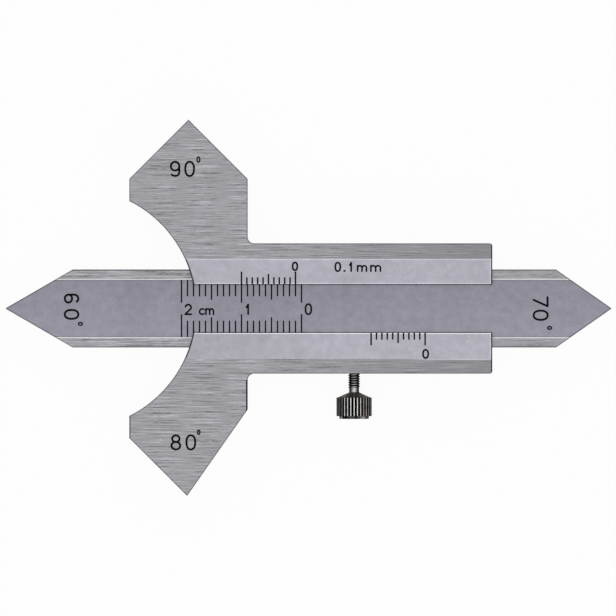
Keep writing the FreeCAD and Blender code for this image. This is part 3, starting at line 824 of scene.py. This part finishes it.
def turn_screw_core():
    """Pilot, core of the thread, neck, cone, fluted head and end disc, spun from an outline."""
    tip = SCREW_HIGH.y
    end = SCREW_LOW.y
    core = THREAD_ROOT + CORE_OVERLAP
    cone_foot = HEAD_RADIUS - SHOULDER_WIDTH
    outline = (
        (0.0, tip), (PILOT_RADIUS - PILOT_CHAMFER, tip), (PILOT_RADIUS, tip - PILOT_CHAMFER),
        (PILOT_RADIUS, SHANK_START), (core, SHANK_START - PILOT_STEP),
        (core, SHANK_END + NECK_RUNOUT), (NECK_RADIUS, SHANK_END),
        (NECK_RADIUS, CONE_START + NECK_ROOT), (NECK_RADIUS + NECK_RUNOUT, CONE_START - CONE_BREAK),
        (cone_foot - 2 * CONE_BREAK, GRIP_START + CONE_BREAK), (cone_foot + CONE_BREAK, GRIP_START),
        (HEAD_RADIUS - TOOTH_CHAMFER, GRIP_START), (HEAD_RADIUS, GRIP_START - TOOTH_CHAMFER),
        (HEAD_RADIUS, GRIP_END + TOOTH_CHAMFER), (HEAD_RADIUS - TOOTH_CHAMFER, GRIP_END),
        (END_RADIUS, GRIP_END), (END_RADIUS, end + END_CHAMFER), (END_RADIUS - END_CHAMFER, end),
        (0.0, end),
    )
    turned = draw_profile("clamp_screw_turned", outline)
    bpy.ops.mesh.select_all(action="SELECT")
    bpy.ops.mesh.spin(steps=FLUTES * len(FLUTE_SECTION), angle=FULL_TURN,
                      center=SCREW_AXIS * MM, axis=(0, 1, 0))
    bpy.ops.mesh.remove_doubles(threshold=MERGE_DISTANCE)
    bpy.ops.object.mode_set(mode="OBJECT")
    cut_flutes(turned)
    return settle(turned)


def cut_flutes(piece):
    """Draw the valleys of the straight knurl in towards the axis."""
    steps = len(FLUTE_SECTION)
    place_of = piece.matrix_world
    valley_floor = HEAD_RADIUS - FLUTE_DEPTH - TOOTH_CHAMFER / 2
    grip_low, grip_high = GRIP_END - FLUTE_END_ROOM, GRIP_START + FLUTE_END_ROOM
    for depth in sorted(set(FLUTE_SECTION) - {0.0}):
        for vertex in piece.data.vertices:
            spot = place_of @ vertex.co / MM - SCREW_AXIS
            angle = math.atan2(spot.z, spot.x) / FULL_TURN * FLUTES * steps
            outer = math.hypot(spot.x, spot.z) > valley_floor
            along = grip_low < spot.y + SCREW_AXIS.y < grip_high
            vertex.select = outer and along and FLUTE_SECTION[round(angle) % steps] == depth
        bpy.ops.object.mode_set(mode="EDIT")
        bpy.ops.mesh.select_mode(type="VERT")
        inwards = 1 - depth * FLUTE_DEPTH / HEAD_RADIUS
        bpy.ops.transform.resize(value=(inwards, 1, inwards), center_override=SCREW_AXIS * MM)
        bpy.ops.object.mode_set(mode="OBJECT")


def cut_thread():
    """The right-hand thread: one pitch of its profile wound up the shank by a screw modifier."""
    turns = math.ceil((SHANK_START - SHANK_END) / THREAD_PITCH) + SPARE_TURNS
    first = SHANK_END - THREAD_PITCH
    quarter = THREAD_PITCH / 4
    thread = draw_profile("thread", (
        (THREAD_ROOT, first), (THREAD_ROOT, first + quarter),
        (THREAD_RADIUS, first + 2 * quarter), (THREAD_RADIUS, first + 3 * quarter),
        (THREAD_ROOT, first + THREAD_PITCH)))
    bpy.ops.object.mode_set(mode="OBJECT")
    bpy.context.scene.cursor.location = SCREW_AXIS * MM
    bpy.ops.object.origin_set(type="ORIGIN_CURSOR")
    winding = thread.modifiers.new("winding", "SCREW")
    winding.axis = "Y"
    winding.screw_offset = THREAD_PITCH * MM
    winding.iterations = turns
    winding.steps = winding.render_steps = THREAD_STEPS
    bpy.ops.object.modifier_apply(modifier=winding.name)
    bpy.ops.object.mode_set(mode="EDIT")
    bpy.ops.mesh.select_all(action="SELECT")
    bpy.ops.mesh.remove_doubles(threshold=MERGE_DISTANCE)
    for limit, outwards in ((SHANK_START, 1), (SHANK_END, -1)):
        bpy.ops.mesh.select_all(action="SELECT")
        bpy.ops.mesh.bisect(
            plane_co=Vector((SCREW_AXIS.x, limit, SCREW_AXIS.z)) * MM, plane_no=(0, outwards, 0),
            use_fill=True, clear_outer=True, threshold=MERGE_DISTANCE)
    bpy.ops.object.mode_set(mode="OBJECT")
    return settle(thread)


def make_clamp_screw():
    """The screw as one piece: the wound thread joined to the turned core."""
    thread = cut_thread()
    screw = turn_screw_core()
    union = screw.modifiers.new("union", "BOOLEAN")
    union.operation = "UNION"
    union.solver = "EXACT"
    union.object = thread
    bpy.ops.object.modifier_apply(modifier=union.name)
    bpy.data.objects.remove(thread)
    screw.data.materials.clear()
    screw.data.materials.append(black_oxide())
    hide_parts("clamp_screw")
    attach(screw, "clamp_screw")


# Numerals and unit marks, as strokes in a box one unit high

def bow(centre, radii, start, end, power=2.0):
    """Points along part of an oval, squarer with a higher power; a whole one stops a step early."""
    sweep = abs(end - start)
    fewest, degrees_each = 6, 10
    count = max(fewest, round(sweep / degrees_each))
    points = []
    for step in range(count + (sweep < 360)):
        angle = math.radians(start + (end - start) * step / count)
        across, up = (math.copysign(abs(part) ** (2 / power), part)
                      for part in (math.cos(angle), math.sin(angle)))
        points.append((centre[0] + radii[0] * across, centre[1] + radii[1] * up))
    return points


def stroke(*points):
    """A stroke through some points, and that it stays open."""
    return points, False


def ring(centre, radii, power=2.0):
    """A stroke round an oval, and that it closes on itself."""
    return bow(centre, radii, 0, 360, power), True


SIGNS = {
    "0": [ring((0.5, 0.5), (0.5, 0.5), 2.3)],
    "1": [stroke((0.0, 0.72), (0.8, 1.0)), stroke((0.8, 1.0), (0.8, 0.0))],
    "2": [stroke(*bow((0.5, 0.71), (0.47, 0.29), 165, -35), (0.0, 0.0)),
          stroke((0.0, 0.0), (1.0, 0.0))],
    "6": [ring((0.5, 0.27), (0.5, 0.27)),
          stroke((0.0, 0.3), *bow((0.5, 0.67), (0.5, 0.33), 180, 40))],
    "7": [stroke((0.0, 1.0), (1.0, 1.0)), stroke((1.0, 1.0), (0.3, 0.0))],
    "8": [ring((0.5, 0.76), (0.42, 0.24)), ring((0.5, 0.27), (0.5, 0.27))],
    "9": [ring((0.5, 0.69), (0.5, 0.31)),
          stroke((1.0, 0.66), *bow((0.5, 0.33), (0.5, 0.33), 0, -140, 2.4))],
    "degree": [ring((0.5, 0.5), (0.5, 0.5), 3.0)],
    "point": [stroke((0.0, 0.5), (1.0, 0.5))],
    "c": [stroke(*bow((0.55, 0.5), (0.55, 0.5), 50, 310))],
    "m": [stroke((0.0, 0.0), (0.0, 1.0)),
          stroke(*bow((0.25, 0.6), (0.25, 0.4), 180, 0), (0.5, 0.0)),
          stroke(*bow((0.75, 0.6), (0.25, 0.4), 180, 0), (1.0, 0.0))],
}


def rounded_end(tip, before, half):
    """Points past a stroke's tip, each with its share of the width, round as a cutter leaves it."""
    outwards = (tip - before).normalized() * half
    return [(tip + outwards * reach, width) for reach, width in ROUND_END]


def write_sign(curve, sign, offset, rise, width, height):
    """Add a sign's strokes to a curve, to fill a box of the given place, width and height."""
    stroke_width = SPECIAL_STROKES.get(sign, TALL_SIGN_STROKE if height > TALL_SIGN else INK_STROKE)
    half = stroke_width / 2
    for points, closed in SIGNS[sign]:
        spots = [Vector((offset + half + x * (width - stroke_width),
                         rise + half + y * (height - stroke_width))) for x, y in points]
        run = [(spot, 1.0) for spot in spots]
        if not closed:
            run = (rounded_end(spots[0], spots[1], half)[::-1] + run
                   + rounded_end(spots[-1], spots[-2], half))
        line = curve.splines.new("POLY")
        line.points.add(len(run) - 1)
        line.use_cyclic_u = closed
        for point, (spot, share) in zip(line.points, run):
            point.radius = share * stroke_width / INK_STROKE
            point.co = (spot.x * MM, spot.y * MM, 0, 1)


def ink(name, body, surface, start, turn, signs, filling):
    """Signs written from a start point and laid on the surface of the body that they ride with."""
    curve = bpy.data.curves.new(name, "CURVE")
    curve.dimensions = "3D"
    curve.bevel_depth = INK_STROKE / 2 * MM
    curve.bevel_resolution = 1
    curve.use_fill_caps = True
    for sign in signs:
        write_sign(curve, *sign)
    deselect_everything()
    written = bpy.data.objects.new(name, curve)
    bpy.context.collection.objects.link(written)
    bpy.context.view_layer.objects.active = written
    written.select_set(True)
    bpy.ops.object.convert(target="MESH")
    flatten = Matrix.Diagonal((1, 1, 2 * INK_RISE / INK_STROKE, 1))
    turned = Matrix.Rotation(math.radians(turn), 4, "Z")
    written.data.transform(Matrix.Translation(Vector((*start, 0)) * MM) @ turned @ flatten)
    for vertex in written.data.vertices:
        vertex.co.z += surface(vertex.co.y / MM) * MM
    settle(written, INK_SMOOTHING)
    written.data.materials.append(filling)
    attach(written, body)


def on_body(_):
    """The height of the arms' and the sleeve's top face."""
    return BODY_HIGH.z


def on_band(_):
    """The height of the slide's sunk band."""
    return BAND_FACE


def on_bevel(y):
    """The height of the sleeve's bevels, which rise away from the slide's axis."""
    return LIP_TOP + BEVEL_SLOPE * (abs(y) - LIP_REACH)


# Each mark's body, surface, start, turn in degrees and signs: (sign, offset, rise, width, height)
MARKS = {
    "mark_90_degrees": ("gauge_body", on_body, (-23.1, 21.9), 0, (
        ("9", 0.0, 0.0, 1.75, 2.7), ("0", 2.4, 0.0, 1.8, 2.7),
        ("degree", 4.42, 2.36, 0.68, 1.06))),
    "mark_80_degrees": ("gauge_body", on_body, (-23.0, -23.65), 0, (
        ("8", 0.0, 0.0, 1.8, 2.7), ("0", 2.5, 0.0, 1.8, 2.7),
        ("degree", 4.4, 2.6, 0.62, 0.87))),
    "mark_60_degrees": ("slide", on_band, (-40.8, 2.48), -90, (
        ("6", 0.0, 0.0, 1.66, 2.6), ("0", 2.55, 0.0, 1.83, 2.6),
        ("degree", 4.7, 2.35, 0.67, 0.86))),
    "mark_70_degrees": ("slide", on_band, (37.3, 2.08), -90, (
        ("7", 0.03, 0.05, 1.84, 2.66), ("0", 2.27, 0.05, 1.88, 2.67),
        ("degree", 4.98, 2.44, 0.67, 0.84))),
    "scale_marks": ("slide", on_band, (-20.72, -1.12), 0, (
        ("2", 0.0, 0.0, 1.33, 1.92), ("c", 2.42, 0.0, 1.08, 1.2), ("m", 3.47, 0.0, 1.55, 1.2),
        ("1", 10.22, 0.0, 0.66, 1.92), ("0", 20.06, 0.0, 1.27, 2.0))),
    "fillet_vernier_zero": ("gauge_body", on_bevel, (-2.8, 6.23), 0, (
        ("0", 0.0, 0.0, 1.09, 1.58),)),
    "butt_vernier_zero": ("gauge_body", on_bevel, (18.92, -8.4), 0, (
        ("0", 0.0, 0.0, 1.16, 1.66),)),
    "vernier_step": ("gauge_body", on_bevel, (4.3, 6.07), 0, (
        ("0", 0.0, 0.0, 1.15, 1.71), ("point", 1.47, 0.0, 0.44, 0.38),
        ("1", 2.42, 0.0, 0.6, 1.71), ("m", 3.73, 0.0, 1.76, 1.2), ("m", 5.94, 0.0, 1.88, 1.2))),
}


def write_marks():
    """Every numeral and unit mark, each in the place that it has on the real gauge."""
    filling = black_filling()
    for name, mark in MARKS.items():
        ink(name, *mark, filling)


# The studio

def add_softbox(name, spot, size, power):
    """A rectangular lamp at a spot, which looks at the gauge."""
    lamp = bpy.data.lights.new(name, "AREA")
    lamp.shape = "RECTANGLE"
    lamp.size, lamp.size_y = size
    lamp.energy = power
    holder = bpy.data.objects.new(name, lamp)
    bpy.context.collection.objects.link(holder)
    holder.location = spot
    holder.rotation_euler = (LAMP_TARGET - Vector(spot)).to_track_quat("-Z", "Y").to_euler()


def light_studio():
    """An even surround, a broad lamp overhead and one on either side, which lifts the bevels."""
    world = bpy.data.worlds.new("studio")
    bpy.context.scene.world = world
    world.use_nodes = True
    tree = world.node_tree
    tree.nodes.clear()
    seen = add(tree, "ShaderNodeLightPath").outputs["Is Camera Ray"]
    strength = choose(tree, seen, SURROUND_STRENGTH, 1.0)
    background = add(tree, "ShaderNodeBackground", {"Color": WHITE, "Strength": strength})
    output = add(tree, "ShaderNodeOutputWorld")
    tree.links.new(background.outputs[0], output.inputs["Surface"])
    for name, (spot, size, power) in SOFTBOXES.items():
        add_softbox(name, spot, size, power)


def lay_floor():
    """A pale floor, white in the picture and in reflections, which still takes the shadow."""
    deselect_everything()
    bpy.ops.mesh.primitive_plane_add(size=FLOOR_SIZE, location=(0, 0, -FLOOR_DROP))
    floor = bpy.context.object
    floor.name = "floor"
    finish = bpy.data.materials.new("pale_floor")
    finish.use_nodes = True
    tree = finish.node_tree
    tree.nodes.clear()
    path = add(tree, "ShaderNodeLightPath").outputs
    seen = strongest(tree, path["Is Camera Ray"], path["Is Glossy Ray"],
                     path["Is Transmission Ray"])
    cloth = add(tree, "ShaderNodeBsdfDiffuse", {"Color": FLOOR_WHITE})
    glow = add(tree, "ShaderNodeEmission", {"Color": WHITE, "Strength": 1.0})
    whole = add(tree, "ShaderNodeMixShader", {"Fac": product(tree, seen, FLOOR_GLOW)})
    tree.links.new(cloth.outputs[0], whole.inputs[1])
    tree.links.new(glow.outputs[0], whole.inputs[2])
    output = add(tree, "ShaderNodeOutputMaterial")
    tree.links.new(whole.outputs[0], output.inputs["Surface"])
    floor.data.materials.append(finish)


def set_camera():
    """Straight above, through a long lens, so that no side wall shows."""
    camera = bpy.data.cameras.new("camera")
    camera.lens = LENS
    camera.sensor_width = SENSOR
    holder = bpy.data.objects.new("camera", camera)
    bpy.context.collection.objects.link(holder)
    distance = LENS / SENSOR * VIEW_WIDTH
    holder.location = (VIEW_CENTRE + Vector((0, 0, distance))) * MM
    bpy.context.scene.camera = holder
    bpy.context.scene.view_settings.view_transform = "Standard"


def dress(node, finish):
    """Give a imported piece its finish."""
    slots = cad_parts[node].data.materials
    slots.clear()
    slots.append(finish)


dress("gauge_body", ground_body_steel())
dress("slide", ground_slide_steel())
dress("gib_strip", rolled_brass())
make_clamp_screw()
write_marks()
light_studio()
lay_floor()
set_camera()
